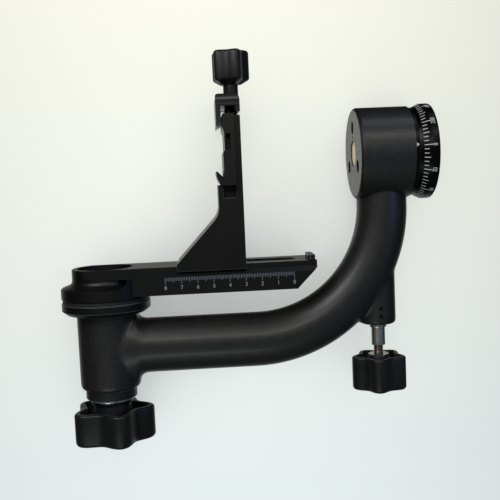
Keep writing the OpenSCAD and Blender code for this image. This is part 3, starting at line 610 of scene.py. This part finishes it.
def sweptTube():
    leaveEdit()
    bpy.ops.object.select_all(action="DESELECT")
    bpy.ops.mesh.primitive_circle_add(vertices=72, radius=arm["neckRadius"], fill_type="NGON",
                                      location=(arm["neckStart"], 0, arm["neckZ"]),
                                      rotation=(0, math.pi / 2, 0))
    tube = applyPlace(bpy.context.object)
    pick(tube, "FACE", lambda face: True)
    reach = arm["bendX"] - arm["neckStart"]
    bpy.ops.mesh.extrude_region_move(TRANSFORM_OT_translate={"value": (reach, 0, 0)})
    centre = (arm["bendX"], 0, arm["bendZ"])
    steps = arm["bendSteps"]
    startRadius = arm["bendZ"] - arm["neckZ"]
    widen = (arm["bendRadius"] / startRadius) ** (1 / steps)
    swell = (arm["tubeRadius"] / arm["neckRadius"]) ** (1 / steps) / widen
    for step in range(1, steps + 1):
        turn = math.pi / 2 * step / steps
        reach = startRadius * widen ** step
        middle = (arm["bendX"] - reach * math.sin(turn), 0, arm["bendZ"] - reach * math.cos(turn))
        bpy.ops.mesh.extrude_region()
        bpy.ops.transform.rotate(value=-math.pi / 2 / steps, orient_axis="Y", center_override=centre)
        bpy.ops.transform.resize(value=(widen,) * 3, center_override=centre)
        bpy.ops.transform.resize(value=(swell,) * 3, center_override=middle)
    bpy.ops.mesh.extrude_region_move(TRANSFORM_OT_translate={"value": (0, 0, arm["flareZ"] - arm["bendZ"])})
    width = arm["tubeRadius"]
    for step in range(1, arm["flareSteps"] + 1):
        turn = math.pi / 2 * step / arm["flareSteps"]
        rise = arm["flare"] * (math.sin(turn) - math.sin(turn - math.pi / 2 / arm["flareSteps"]))
        wider = arm["tubeRadius"] + arm["flare"] * (1 - math.cos(turn))
        bpy.ops.mesh.extrude_region_move(TRANSFORM_OT_translate={"value": (0, 0, rise)})
        bpy.ops.transform.resize(value=(wider / width, 1, 1),
                                 center_override=(arm["bendX"] - arm["bendRadius"], 0, 0))
        width = wider
    rest = tiltZ - arm["flareZ"] - arm["flare"]
    bpy.ops.mesh.extrude_region_move(TRANSFORM_OT_translate={"value": (0, 0, rest)})
    bpy.ops.mesh.select_all(action="SELECT")
    bpy.ops.mesh.normals_make_consistent(inside=False)
    leaveEdit()
    return tube


zones = {                             # where one stretch of the weave ends and the next begins
    "endNormal": 0.9, "endZ": tiltZ - 25, "tiltZ": tiltZ - 24, "housingRadius": arm["housingRadius"] + 0.25,
    "bossX": -80, "bossZ": 60, "bossRadius": arm["bossRadius"] + 0.4, "tubeRadius": arm["tubeRadius"] + 0.3,
}


def weaveMap(piece):                  # arc lengths along and round each stretch, in decimetres
    layer = piece.data.uv_layers.new(name="weave")
    points = [vert.co for vert in piece.data.vertices]
    reachX = arm["bendX"] - arm["bendRadius"]
    bendLength = arm["bendRadius"] * math.pi / 2
    for face in piece.data.polygons:
        at = face.center
        offTilt = math.hypot(at.y, at.z - tiltZ)
        offLock = math.hypot(at.y, at.z - lockZ)
        offBend = math.hypot(at.x - arm["bendX"], at.z - arm["bendZ"]) - arm["bendRadius"]
        offTube = math.hypot(offBend, at.y)
        onBoss = offLock < zones["bossRadius"] and offTube > zones["tubeRadius"]
        if abs(face.normal.x) > zones["endNormal"] and (at.z > zones["endZ"] or onBoss):
            zone = "end"
        elif at.z > zones["tiltZ"] and offTilt < zones["housingRadius"]:
            zone = "tilt"
        elif at.x < zones["bossX"] and at.z < zones["bossZ"] and onBoss:
            zone = "boss"
        elif at.z > arm["bendZ"]:
            zone = "reach"
        elif at.x < arm["bendX"]:
            zone = "bend"
        else:
            zone = "neck"
        middleTurn = None
        for loopIndex in face.loop_indices:
            spot = points[piece.data.loops[loopIndex].vertex_index]
            if zone == "end":
                layer.data[loopIndex].uv = (spot.y / decimetre, spot.z / decimetre)
                continue
            if zone == "tilt":
                run, turn, radius = -spot.x, math.atan2(spot.y, spot.z - tiltZ), arm["housingRadius"]
            elif zone == "boss":
                run, turn, radius = -spot.x, math.atan2(spot.y, spot.z - lockZ), arm["bossRadius"]
            elif zone == "reach":
                run, radius = bendLength + spot.z - arm["bendZ"], arm["tubeRadius"]
                turn = math.atan2(spot.y, reachX - spot.x)
            elif zone == "bend":
                dx, dz = arm["bendX"] - spot.x, arm["bendZ"] - spot.z
                run, radius = arm["bendRadius"] * math.atan2(dx, dz), arm["tubeRadius"]
                turn = math.atan2(spot.y, math.hypot(dx, dz) - arm["bendRadius"])
            else:
                run, radius = arm["bendX"] - spot.x, arm["tubeRadius"]
                turn = math.atan2(spot.y, arm["bendZ"] - arm["bendRadius"] - spot.z)
            if middleTurn is None:
                middleTurn = turn
            turn += 2 * math.pi * round((middleTurn - turn) / (2 * math.pi))
            layer.data[loopIndex].uv = (turn * radius / decimetre, run / decimetre)


def levelCylinder(radius, fromX, toX, z, sides=96):       # along the frame's X axis
    bar = cylinder(radius, 0, fromX - toX, sides)
    return turned(bar, Matrix.Translation((fromX, 0, z)) @ Matrix.Rotation(-math.pi / 2, 4, "Y"))


def endRing(x):                       # the edges of one end of a level cylinder
    return lambda edge: all(abs(vert.co.x - x) < 0.01 for vert in edge.verts)


def buildArm():
    tube = sweptTube()
    spare, across = arm["spare"], arm["across"]
    cutX = arm["housingFace"] + arm["facing"]
    housing = levelCylinder(arm["housingRadius"], cutX, arm["housingEnd"], tiltZ)
    soften(housing, endRing(arm["housingEnd"]), arm["housingEdge"])
    boss = levelCylinder(arm["bossRadius"], arm["bossRoot"], arm["bossFoot"], lockZ)
    soften(boss, endRing(arm["bossFoot"]), arm["bossEdge"])
    shell = join([tube, housing, boss])
    applyModifier(shell, "REMESH", mode="VOXEL", voxel_size=arm["voxel"])
    applyModifier(shell, "SMOOTH", factor=0.5, iterations=arm["smoothing"])
    cutters = [
        block((2 * arm["facing"], across, across), (cutX, 0, tiltZ)),
        cylinder(arm["panRadius"], 0, across),
        levelCylinder(arm["shaftBore"], arm["housingFace"] + spare, arm["shoulder"], tiltZ),
        levelCylinder(arm["raceBore"], arm["shoulder"], arm["housingEnd"] - spare, tiltZ),
        levelCylinder(arm["bushBore"], arm["bushIn"], arm["bossFoot"] - spare, lockZ, 48),
    ]
    for x in arm["screwXs"]:
        drill = cylinder(arm["screwBore"], arm["bushBore"] + arm["screwSkin"], arm["bossRadius"] + spare, 24)
        place = Matrix.Translation((x, 0, lockZ)) @ Matrix.Rotation(math.pi / 2, 4, "X")
        cutters.append(turned(drill, place))
    for cutter in cutters:
        combine(shell, cutter, "DIFFERENCE")
    weaveMap(shell)
    return shell


finishPiece(buildArm(), "arm_moulding", "arm", finishes["carbonWrapped"],
            ("arm_tube", "tilt_housing", "lock_boss"), angle=40)
print("stage: arm moulded")


# knobs

tiltKnob = {                          # mm and degrees, the mouth at local z = 0
    "mouthX": -155.9,
    "outline": 26.8, "valley": 6.8, "turn": 36, "height": 21.4, "crownRound": 3.2, "rimRound": 1.6,
    "wall": 3.4, "hollow": 10.7, "mouthRound": 0.7,
    "hub": 12, "hubFoot": -3.4, "bore": 9, "boreTop": 13,
}
panKnob = {
    "mouthX": -131.6,
    "outline": 18, "valley": 4, "turn": -6, "height": 22, "crownRound": 2.4, "rimRound": 1.2,
    "wall": 2.6, "hollow": 12.1, "mouthRound": 0.5,
    "hub": 6.5, "hubFoot": 0, "bore": 5, "boreTop": 13,
}
clampKnob = {
    "stemX": 39.3,
    "outline": 12.2, "valley": 2.8, "turn": 4, "low": 10.2, "high": 28.4, "crownRound": 2.2,
    "shoulder": 3, "shoulderShare": 0.56, "stem": 4.7, "stemTop": 12, "stemRound": 0.5,
    "bore": 3, "boreTop": 19.2,
}
lobeCount = 5


def lobedBar(knob, low, high, sides=160):
    bar = cylinder(knob["outline"], low, high, sides)
    half = 180 / lobeCount
    columns = sides // (2 * lobeCount)         # from the top of a lobe to the bottom of a valley

    def columnOf(vert):
        angle = math.degrees(math.atan2(vert.co.y, vert.co.x)) - knob["turn"]
        return round(abs((angle + half) % (2 * half) - half) / half * columns)

    for column in range(1, columns + 1):
        depth = knob["valley"] * (1 - math.cos(math.pi * column / columns)) / 2
        share = 1 - depth / knob["outline"]
        pick(bar, "VERT", lambda vert: columnOf(vert) == column)
        bpy.ops.transform.resize(value=(share, share, 1), center_override=(0, 0, 0))
    leaveEdit()
    return bar


def hollowKnob(knob):
    bar = lobedBar(knob, 0, knob["height"])
    soften(bar, atHeight(knob["height"]), knob["crownRound"], 6)
    soften(bar, atHeight(0), knob["rimRound"], 4)
    pick(bar, "FACE", lambda face: face.normal.z < -0.99 and len(face.verts) > 100)
    bpy.ops.mesh.inset(thickness=knob["wall"] - knob["rimRound"])
    bpy.ops.mesh.extrude_region_move(TRANSFORM_OT_translate={"value": (0, 0, knob["hollow"])})
    soften(bar, lambda edge: atHeight(0)(edge) and any(abs(f.normal.z) < 0.1 for f in edge.link_faces),
           knob["mouthRound"], 3)
    soften(bar, lambda edge: atHeight(knob["hollow"])(edge), knob["mouthRound"] * 2, 3)
    hub = cylinder(knob["hub"], knob["hubFoot"], knob["hollow"] + 1, 64)
    soften(hub, atHeight(knob["hubFoot"]), 0.5, 2)
    combine(bar, hub, "UNION")
    combine(bar, cylinder(knob["bore"], knob["hubFoot"] - 1, knob["boreTop"], 64), "DIFFERENCE")
    return bar


def stemmedKnob(knob):
    bar = lobedBar(knob, knob["low"], knob["high"])
    pick(bar, "FACE", lambda face: face.normal.z < -0.99)
    bpy.ops.mesh.extrude_region_move(TRANSFORM_OT_translate={"value": (0, 0, -knob["shoulder"])})
    share = knob["shoulderShare"]
    bpy.ops.transform.resize(value=(share, share, 1), center_override=(0, 0, 0))
    leaveEdit()
    soften(bar, atHeight(knob["high"]), knob["crownRound"], 5)
    soften(bar, atHeight(knob["low"]), 1.0, 3)
    stem = cylinder(knob["stem"], 0, knob["stemTop"], 64)
    soften(stem, atHeight(0), knob["stemRound"], 3)
    combine(bar, stem, "UNION")
    combine(bar, cylinder(knob["bore"], -1, knob["boreTop"], 48), "DIFFERENCE")
    return bar


finishPiece(hollowKnob(tiltKnob), "tilt_knob_moulded", "tilt_lock",
            finishes["tiltRubber"], ("tilt_knob",), alongTilt(tiltKnob["mouthX"]), 35)
finishPiece(hollowKnob(panKnob), "pan_knob_moulded", "pan_lock",
            finishes["panRubber"], ("pan_knob",), alongLock(panKnob["mouthX"]), 35)
finishPiece(stemmedKnob(clampKnob), "clamp_knob_moulded", "clamp_lock",
            finishes["clampRubber"], ("clamp_knob",), alongClamp(clampKnob["stemX"]), 35)
print("stage: knobs moulded")


# pan lock screw and washer

lockScrew = {
    "crest": 3.1, "root": 2.7, "pitch": 1.0, "fromX": -100.1, "toX": -139.6,
    "ridge": 0.46, "ridgeRound": 0.2, "endRound": 0.4, "firstTurn": 0.6,
}


def lockScrewPiece(rod):              # rounded ridges, one for each turn of the thread, on a plain rod
    length = rod["fromX"] - rod["toX"]
    core = cylinder(rod["root"], 0, length, 48)
    soften(core, atHeight(length), rod["endRound"], 2)
    ridge = cylinder(rod["crest"], 0, rod["ridge"], 48)
    soften(ridge, lambda edge: atHeight(0)(edge) or atHeight(rod["ridge"])(edge), rod["ridgeRound"], 2)
    ridges = [core]
    for turn in range(int(length / rod["pitch"]) - 1):
        along = (turn + rod["firstTurn"]) * rod["pitch"]
        ridges.append(turned(duplicate(ridge), Matrix.Translation((0, 0, along))))
    bpy.data.objects.remove(ridge)
    return join(ridges)


finishPiece(lockScrewPiece(lockScrew), "pan_lock_screw_cut", "pan_lock",
            finishes["lockBronze"], ("pan_lock_screw",), alongLock(lockScrew["fromX"]))

washer = {
    "x": -148.9, "radius": 14.8, "band": 1.2, "lowRadius": 13, "bore": 8.05, "thick": 2, "edge": 0.3,
    "overlap": 0.2,
}


def steppedWasher():                  # a polished band over a slimmer foot
    disc = cylinder(washer["radius"], 0, washer["band"], 128)
    soften(disc, lambda edge: atHeight(0)(edge) or atHeight(washer["band"])(edge), washer["edge"], 3)
    foot = cylinder(washer["lowRadius"], washer["band"] - washer["overlap"], washer["thick"], 128)
    soften(foot, atHeight(washer["thick"]), washer["edge"] / 2, 2)
    combine(disc, foot, "UNION")
    combine(disc, cylinder(washer["bore"], -1, washer["thick"] + 1, 96), "DIFFERENCE")
    return disc


finishPiece(steppedWasher(), "thrust_washer_turned", "tilt_brake",
            finishes["tiltBright"], ("thrust_washer",), alongTilt(washer["x"]))
print("stage: lock screw and washer turned")


# marks

lift = 0.03           # how far a mark's paint stands proud of the metal
paint = 0.06          # thickness of a mark's plate


def markPlate(width, length):         # a thin rounded plate, its top edge at y = 0
    leaveEdit()
    bpy.ops.object.select_all(action="DESELECT")
    bpy.ops.mesh.primitive_plane_add(size=1, location=(0, -length / 2, 0))
    plate = bpy.context.object
    plate.scale = (width, length, 1)
    applyPlace(plate)
    pick(plate, "VERT", lambda vert: True)
    bpy.ops.mesh.bevel(offset=width * 0.3, segments=2, affect="VERTICES")
    leaveEdit()
    return plate


def thicken(piece):
    applyModifier(piece, "SOLIDIFY", thickness=paint, offset=0)
    return piece


def number(text, height):
    leaveEdit()
    bpy.ops.object.select_all(action="DESELECT")
    bpy.ops.object.text_add()
    letters = bpy.context.object
    letters.data.body = text
    letters.data.size = height / 0.72          # a digit is 0.72 of the type size high
    letters.data.align_x = "CENTER"
    letters.data.align_y = "CENTER"
    bpy.ops.object.convert(target="MESH")
    return bpy.context.object


ring = {
    "rimRadius": 30.2, "rimTop": 6.2, "topRadius": 27.2, "topZ": 12.4,
    "tickTop": 9.9, "tickFoot": 7.3, "middleFoot": 6.5, "longFoot": 5.0, "tickWidth": 0.42,
    "digitZ": 3.4, "digitHeight": 2.9, "digitWidth": 0.76, "startAngle": 6, "step": 5,
}


def coneRadius(z):
    share = max(0, (z - ring["rimTop"]) / (ring["topZ"] - ring["rimTop"]))
    return ring["rimRadius"] + share * (ring["topRadius"] - ring["rimRadius"])


def ringTick(footZ):                  # one tick on the near side, following the cone and the rim
    tick = markPlate(ring["tickWidth"], ring["tickTop"] - footZ)
    turned(tick, Matrix.Translation((0, ring["tickTop"], 0)))
    if footZ < ring["rimTop"]:
        pick(tick, "FACE", lambda face: True)
        bpy.ops.mesh.bisect(plane_co=(0, ring["rimTop"], 0), plane_no=(0, 1, 0))
        leaveEdit()
    for vert in tick.data.vertices:
        vert.co = (vert.co.x, -coneRadius(vert.co.y) - lift, vert.co.y)
    return thicken(tick)


def wrapped(piece, radius, z):        # bends a flat mark round the pan axis
    for vert in piece.data.vertices:
        turn = vert.co.x / radius
        out = radius + lift + vert.co.z
        vert.co = (out * math.sin(turn), -out * math.cos(turn), vert.co.y + z)
    return piece


def ringMarks():
    kinds = {1: ringTick(ring["tickFoot"]), 3: ringTick(ring["middleFoot"]), 6: ringTick(ring["longFoot"])}
    marks = []
    for index in range(360 // ring["step"]):
        kind = 6 if index % 6 == 0 else 3 if index % 3 == 0 else 1
        angle = ring["startAngle"] - index * ring["step"]
        place = Matrix.Rotation(math.radians(angle), 4, "Z")
        marks.append(turned(duplicate(kinds[kind]), place))
        if kind == 6:
            digits = thicken(number(str(index * ring["step"]), ring["digitHeight"]))
            turned(digits, Matrix.Scale(ring["digitWidth"], 4, (1, 0, 0)))
            marks.append(turned(wrapped(digits, ring["rimRadius"], ring["digitZ"]), place))
    for tick in kinds.values():
        bpy.data.objects.remove(tick)
    return join(marks)


finishPiece(ringMarks(), "ring_marks", "pan_base", finishes["whiteMark"])

index = {"radius": 28.1, "baseZ": 14.65, "apexZ": 12.75, "halfWidth": 1.4, "x": 3.5}


def indexMark():
    leaveEdit()
    bpy.ops.object.select_all(action="DESELECT")
    bpy.ops.mesh.primitive_circle_add(vertices=3, radius=1, fill_type="NGON")
    mark = bpy.context.object
    corners = [(-index["halfWidth"], index["baseZ"], 0), (0, index["apexZ"], 0),
               (index["halfWidth"], index["baseZ"], 0)]
    for vert, corner in zip(mark.data.vertices, corners):
        vert.co = corner
    pick(mark, "VERT", lambda vert: True)
    bpy.ops.mesh.bevel(offset=0.12, segments=2, affect="VERTICES")
    bpy.ops.mesh.select_all(action="SELECT")
    bpy.ops.mesh.subdivide(number_cuts=2)
    bpy.ops.mesh.normals_make_consistent(inside=False)
    leaveEdit()
    wrapped(mark, index["radius"], 0)
    return turned(thicken(mark), Matrix.Rotation(math.asin(index["x"] / index["radius"]), 4, "Z"))


finishPiece(indexMark(), "index_mark", "arm", finishes["whiteMark"])

ruler = {
    "face": -20.6, "zeroZ": 91.7, "length": 80, "tickTop": -71.4,
    "short": 2.2, "middle": 3.2, "long": 4.2, "width": 0.34, "digitX": -77.9, "digitHeight": 2.5,
}


def onArmFace(x, z):                  # mark's own x runs down the arm, its y towards the lens
    turn = Matrix(((0, 1, 0, 0), (0, 0, -1, 0), (-1, 0, 0, 0), (0, 0, 0, 1)))
    return Matrix.Translation((x, ruler["face"] - lift, z)) @ turn


def rulerTicks():
    lengths = {1: ruler["short"], 5: ruler["middle"], 10: ruler["long"]}
    kinds = {step: thicken(markPlate(ruler["width"], long)) for step, long in lengths.items()}
    ticks = []
    for millimetre in range(ruler["length"] + 1):
        kind = 10 if millimetre % 10 == 0 else 5 if millimetre % 5 == 0 else 1
        place = onArmFace(ruler["tickTop"], ruler["zeroZ"] + millimetre)
        ticks.append(turned(duplicate(kinds[kind]), place))
    for tick in kinds.values():
        bpy.data.objects.remove(tick)
    return join(ticks)


def rulerNumbers():
    return join([turned(thicken(number(str(centimetre), ruler["digitHeight"])),
                        onArmFace(ruler["digitX"], ruler["zeroZ"] + 10 * centimetre))
                 for centimetre in range(ruler["length"] // 10 + 1)])


finishPiece(rulerTicks(), "arm_ruler_ticks", "swing", finishes["greyMark"])
finishPiece(rulerNumbers(), "arm_ruler_numbers", "swing", finishes["paleMark"])
print("stage: marks placed")


# stage, light and camera

room = {
    "warm": (0.99, 0.985, 0.86, 1), "cool": (0.8, 0.87, 0.87, 1),      # what the camera sees, top and bottom
    "warmth": (0.55, 1.5), "sideFade": (1.3, 0.12),
    "light": (0.93, 0.97, 1.0, 1), "lightStrength": 0.2,
    "facing": 0.06, "above": 0.008, "below": 0.08,      # how bright each side is in a mirror
    "table": 0.9, "tableFrom": 0.55, "tableRamp": 3.3, "shelter": (1.6, 4),
}


def paleRoom():
    world = bpy.data.worlds.new("paleRoom")
    bpy.context.scene.world = world
    finish = Finish(world)
    rays = finish.add("ShaderNodeLightPath", out="Is Camera Ray")
    seen = rays.maths("MAXIMUM", rays.also("Is Transmission Ray"))
    direction = finish.add("ShaderNodeTexCoord", out="Generated")
    up = finish.add("ShaderNodeSeparateXYZ", {}, {"Vector": direction}, out="X")     # up in the picture
    away = up.also("Y")
    side = up.also("Z")
    # painted light on the backdrop: brighter and warmer towards the top of the picture, cooler below, and
    # darker towards its sides
    middle, rise = room["warmth"]
    shade = finish.blend((middle + rise * up).clamped(), room["cool"], room["warm"])
    fade, most = room["sideFade"]
    sideShade = 1 - fade * (side * side).maths("MINIMUM", most)
    pale = finish.add("ShaderNodeBackground", {}, {"Color": shade, "Strength": sideShade})
    top, fall = room["shelter"]
    tableSide = ((away - room["tableFrom"]) * room["tableRamp"]).clamped() * (top - fall * up).clamped()
    facing = (0 - away).maths("MAXIMUM", 0.0) * room["facing"]
    below = (0 - up).maths("MAXIMUM", 0.0) * room["below"]
    mirror = facing + below + room["above"] + tableSide * room["table"]
    glossy = finish.add("ShaderNodeBackground", {}, {"Color": shade, "Strength": mirror})
    light = finish.add("ShaderNodeBackground", {}, {"Color": room["light"],
                                                    "Strength": room["lightStrength"]})
    lighting = finish.add("ShaderNodeMixShader", {}, {0: rays.also("Is Glossy Ray"), 1: light, 2: glossy})
    both = finish.add("ShaderNodeMixShader", {}, {0: seen, 1: lighting, 2: pale})
    finish.add("ShaderNodeOutputWorld", {}, {"Surface": both})


table = {
    "y": 31.5, "middle": (-0.07, 0.11), "size": 900, "shade": (0.26, 0.27, 0.28, 1),
    "depth": 0.07, "strength": 0.8, "gain": 1.25, "power": 2.0,
    "towardsLight": (0.6, -0.52, 0.6), "slant": (1.5, 3),
}


# a painted shadow: a grey that the sheet emits, by ambient occlusion, where the head would shade the table
def tableShade():                     # clear where the pale table is open, grey where the head shades it
    finish = newFinish("tableShade")
    shelter = finish.add("ShaderNodeAmbientOcclusion", {"samples": 16},
                         {"Distance": table["depth"], "Normal": table["towardsLight"]}, out="AO")
    rays = finish.add("ShaderNodeLightPath", out="Is Camera Ray")
    behind = finish.add("ShaderNodeNewGeometry", out="Backfacing")
    deep = ((1 - shelter) * table["gain"]).maths("POWER", table["power"]).maths("MINIMUM", 1.0)
    slant = finish.add("ShaderNodeLayerWeight", {}, {"Blend": 0.5}, out="Facing")
    full, fall = table["slant"]
    amount = deep * table["strength"] * (1 - behind) * (full - fall * slant).clamped() * rays
    clear = finish.add("ShaderNodeBsdfTransparent")
    shade = finish.add("ShaderNodeEmission", {}, {"Color": table["shade"], "Strength": 1.0})
    mixed = finish.add("ShaderNodeMixShader", {}, {0: amount, 1: clear, 2: shade})
    finish.add("ShaderNodeOutputMaterial", {}, {"Surface": mixed})
    return finish.owner


def layTable():
    leaveEdit()
    bpy.ops.object.select_all(action="DESELECT")
    x, z = table["middle"]
    bpy.ops.mesh.primitive_plane_add(size=table["size"] * mm, location=(x, table["y"] * mm, z),
                                     rotation=(math.pi / 2, 0, 0))
    sheet = applyPlace(bpy.context.object)
    sheet.name = "table"
    sheet.data.materials.append(tableShade())
    sheet.visible_shadow = False
    sheet.visible_diffuse = False
    sheet.visible_glossy = False
    sheet.visible_transmission = False


lamps = {                             # place, width across, height along the pan axis, power, colour
    "window": ((0.42, -0.46, 0.50), 0.30, 0.30, 2.6, (0.97, 0.98, 1.0)),
    "highStrip": ((0.30, -0.71, 0.16), 0.10, 0.32, 0.95, (1.0, 0.98, 0.92)),
    "lowStrip": ((-0.60, -0.60, 0.28), 0.12, 0.5, 0.9, (0.95, 0.98, 1.0)),
    "basePane": ((0.49, -0.54, -0.15), 0.13, 0.3, 0.8, (1.0, 0.98, 0.94)),
    "skyPane": ((0.70, -0.12, -0.16), 0.22, 0.2, 0.45, (0.8, 0.88, 1.0)),
    "blueDay": ((0.05, -0.50, -0.45), 0.25, 0.25, 0.6, (0.3, 0.45, 1.0)),
}
aim = Vector((-0.07, 0, 0.12))


def hangLamps():
    for name, (place, width, height, power, colour) in lamps.items():
        light = bpy.data.lights.new(name, "AREA")
        light.shape = "RECTANGLE"
        light.size = width
        light.size_y = height
        light.energy = power
        light.color = colour
        holder = bpy.data.objects.new(name, light)
        bpy.context.collection.objects.link(holder)
        holder.location = place
        holder.rotation_euler = (aim - Vector(place)).to_track_quat("-Z", "Y").to_euler()


cameraView = {
    "focal": 793.5, "image": 500, "sensor": 36.0,          # focal length and image width in pixels
    "at": (-12.57866, -508.27344, 143.93189),
    "roll": -0.04865, "swing": -0.05162, "nod": 0.0902,
}


def setCamera():
    data = bpy.data.cameras.new("photoView")
    data.sensor_width = cameraView["sensor"]
    data.lens = cameraView["focal"] / cameraView["image"] * cameraView["sensor"]
    data.clip_start = 0.01
    camera = bpy.data.objects.new("photoView", data)
    bpy.context.collection.objects.link(camera)
    square = Matrix(((0, 0, -1), (-1, 0, 0), (0, 1, 0)))     # the picture's right is the head's foot
    turn = Matrix.Rotation(cameraView["roll"], 3, "Z") @ Matrix.Rotation(cameraView["swing"], 3, "Y")
    rows = turn @ Matrix.Rotation(cameraView["nod"], 3, "X") @ square
    axes = Matrix((rows[0], -rows[1], -rows[2])).transposed()
    camera.matrix_world = Matrix.Translation(Vector(cameraView["at"]) * mm) @ axes.to_4x4()
    bpy.context.scene.camera = camera


paleRoom()
layTable()
hangLamps()
setCamera()
bpy.context.scene.view_settings.view_transform = "Standard"
leaveEdit()
bpy.context.view_layer.update()
print("stage: room lit")
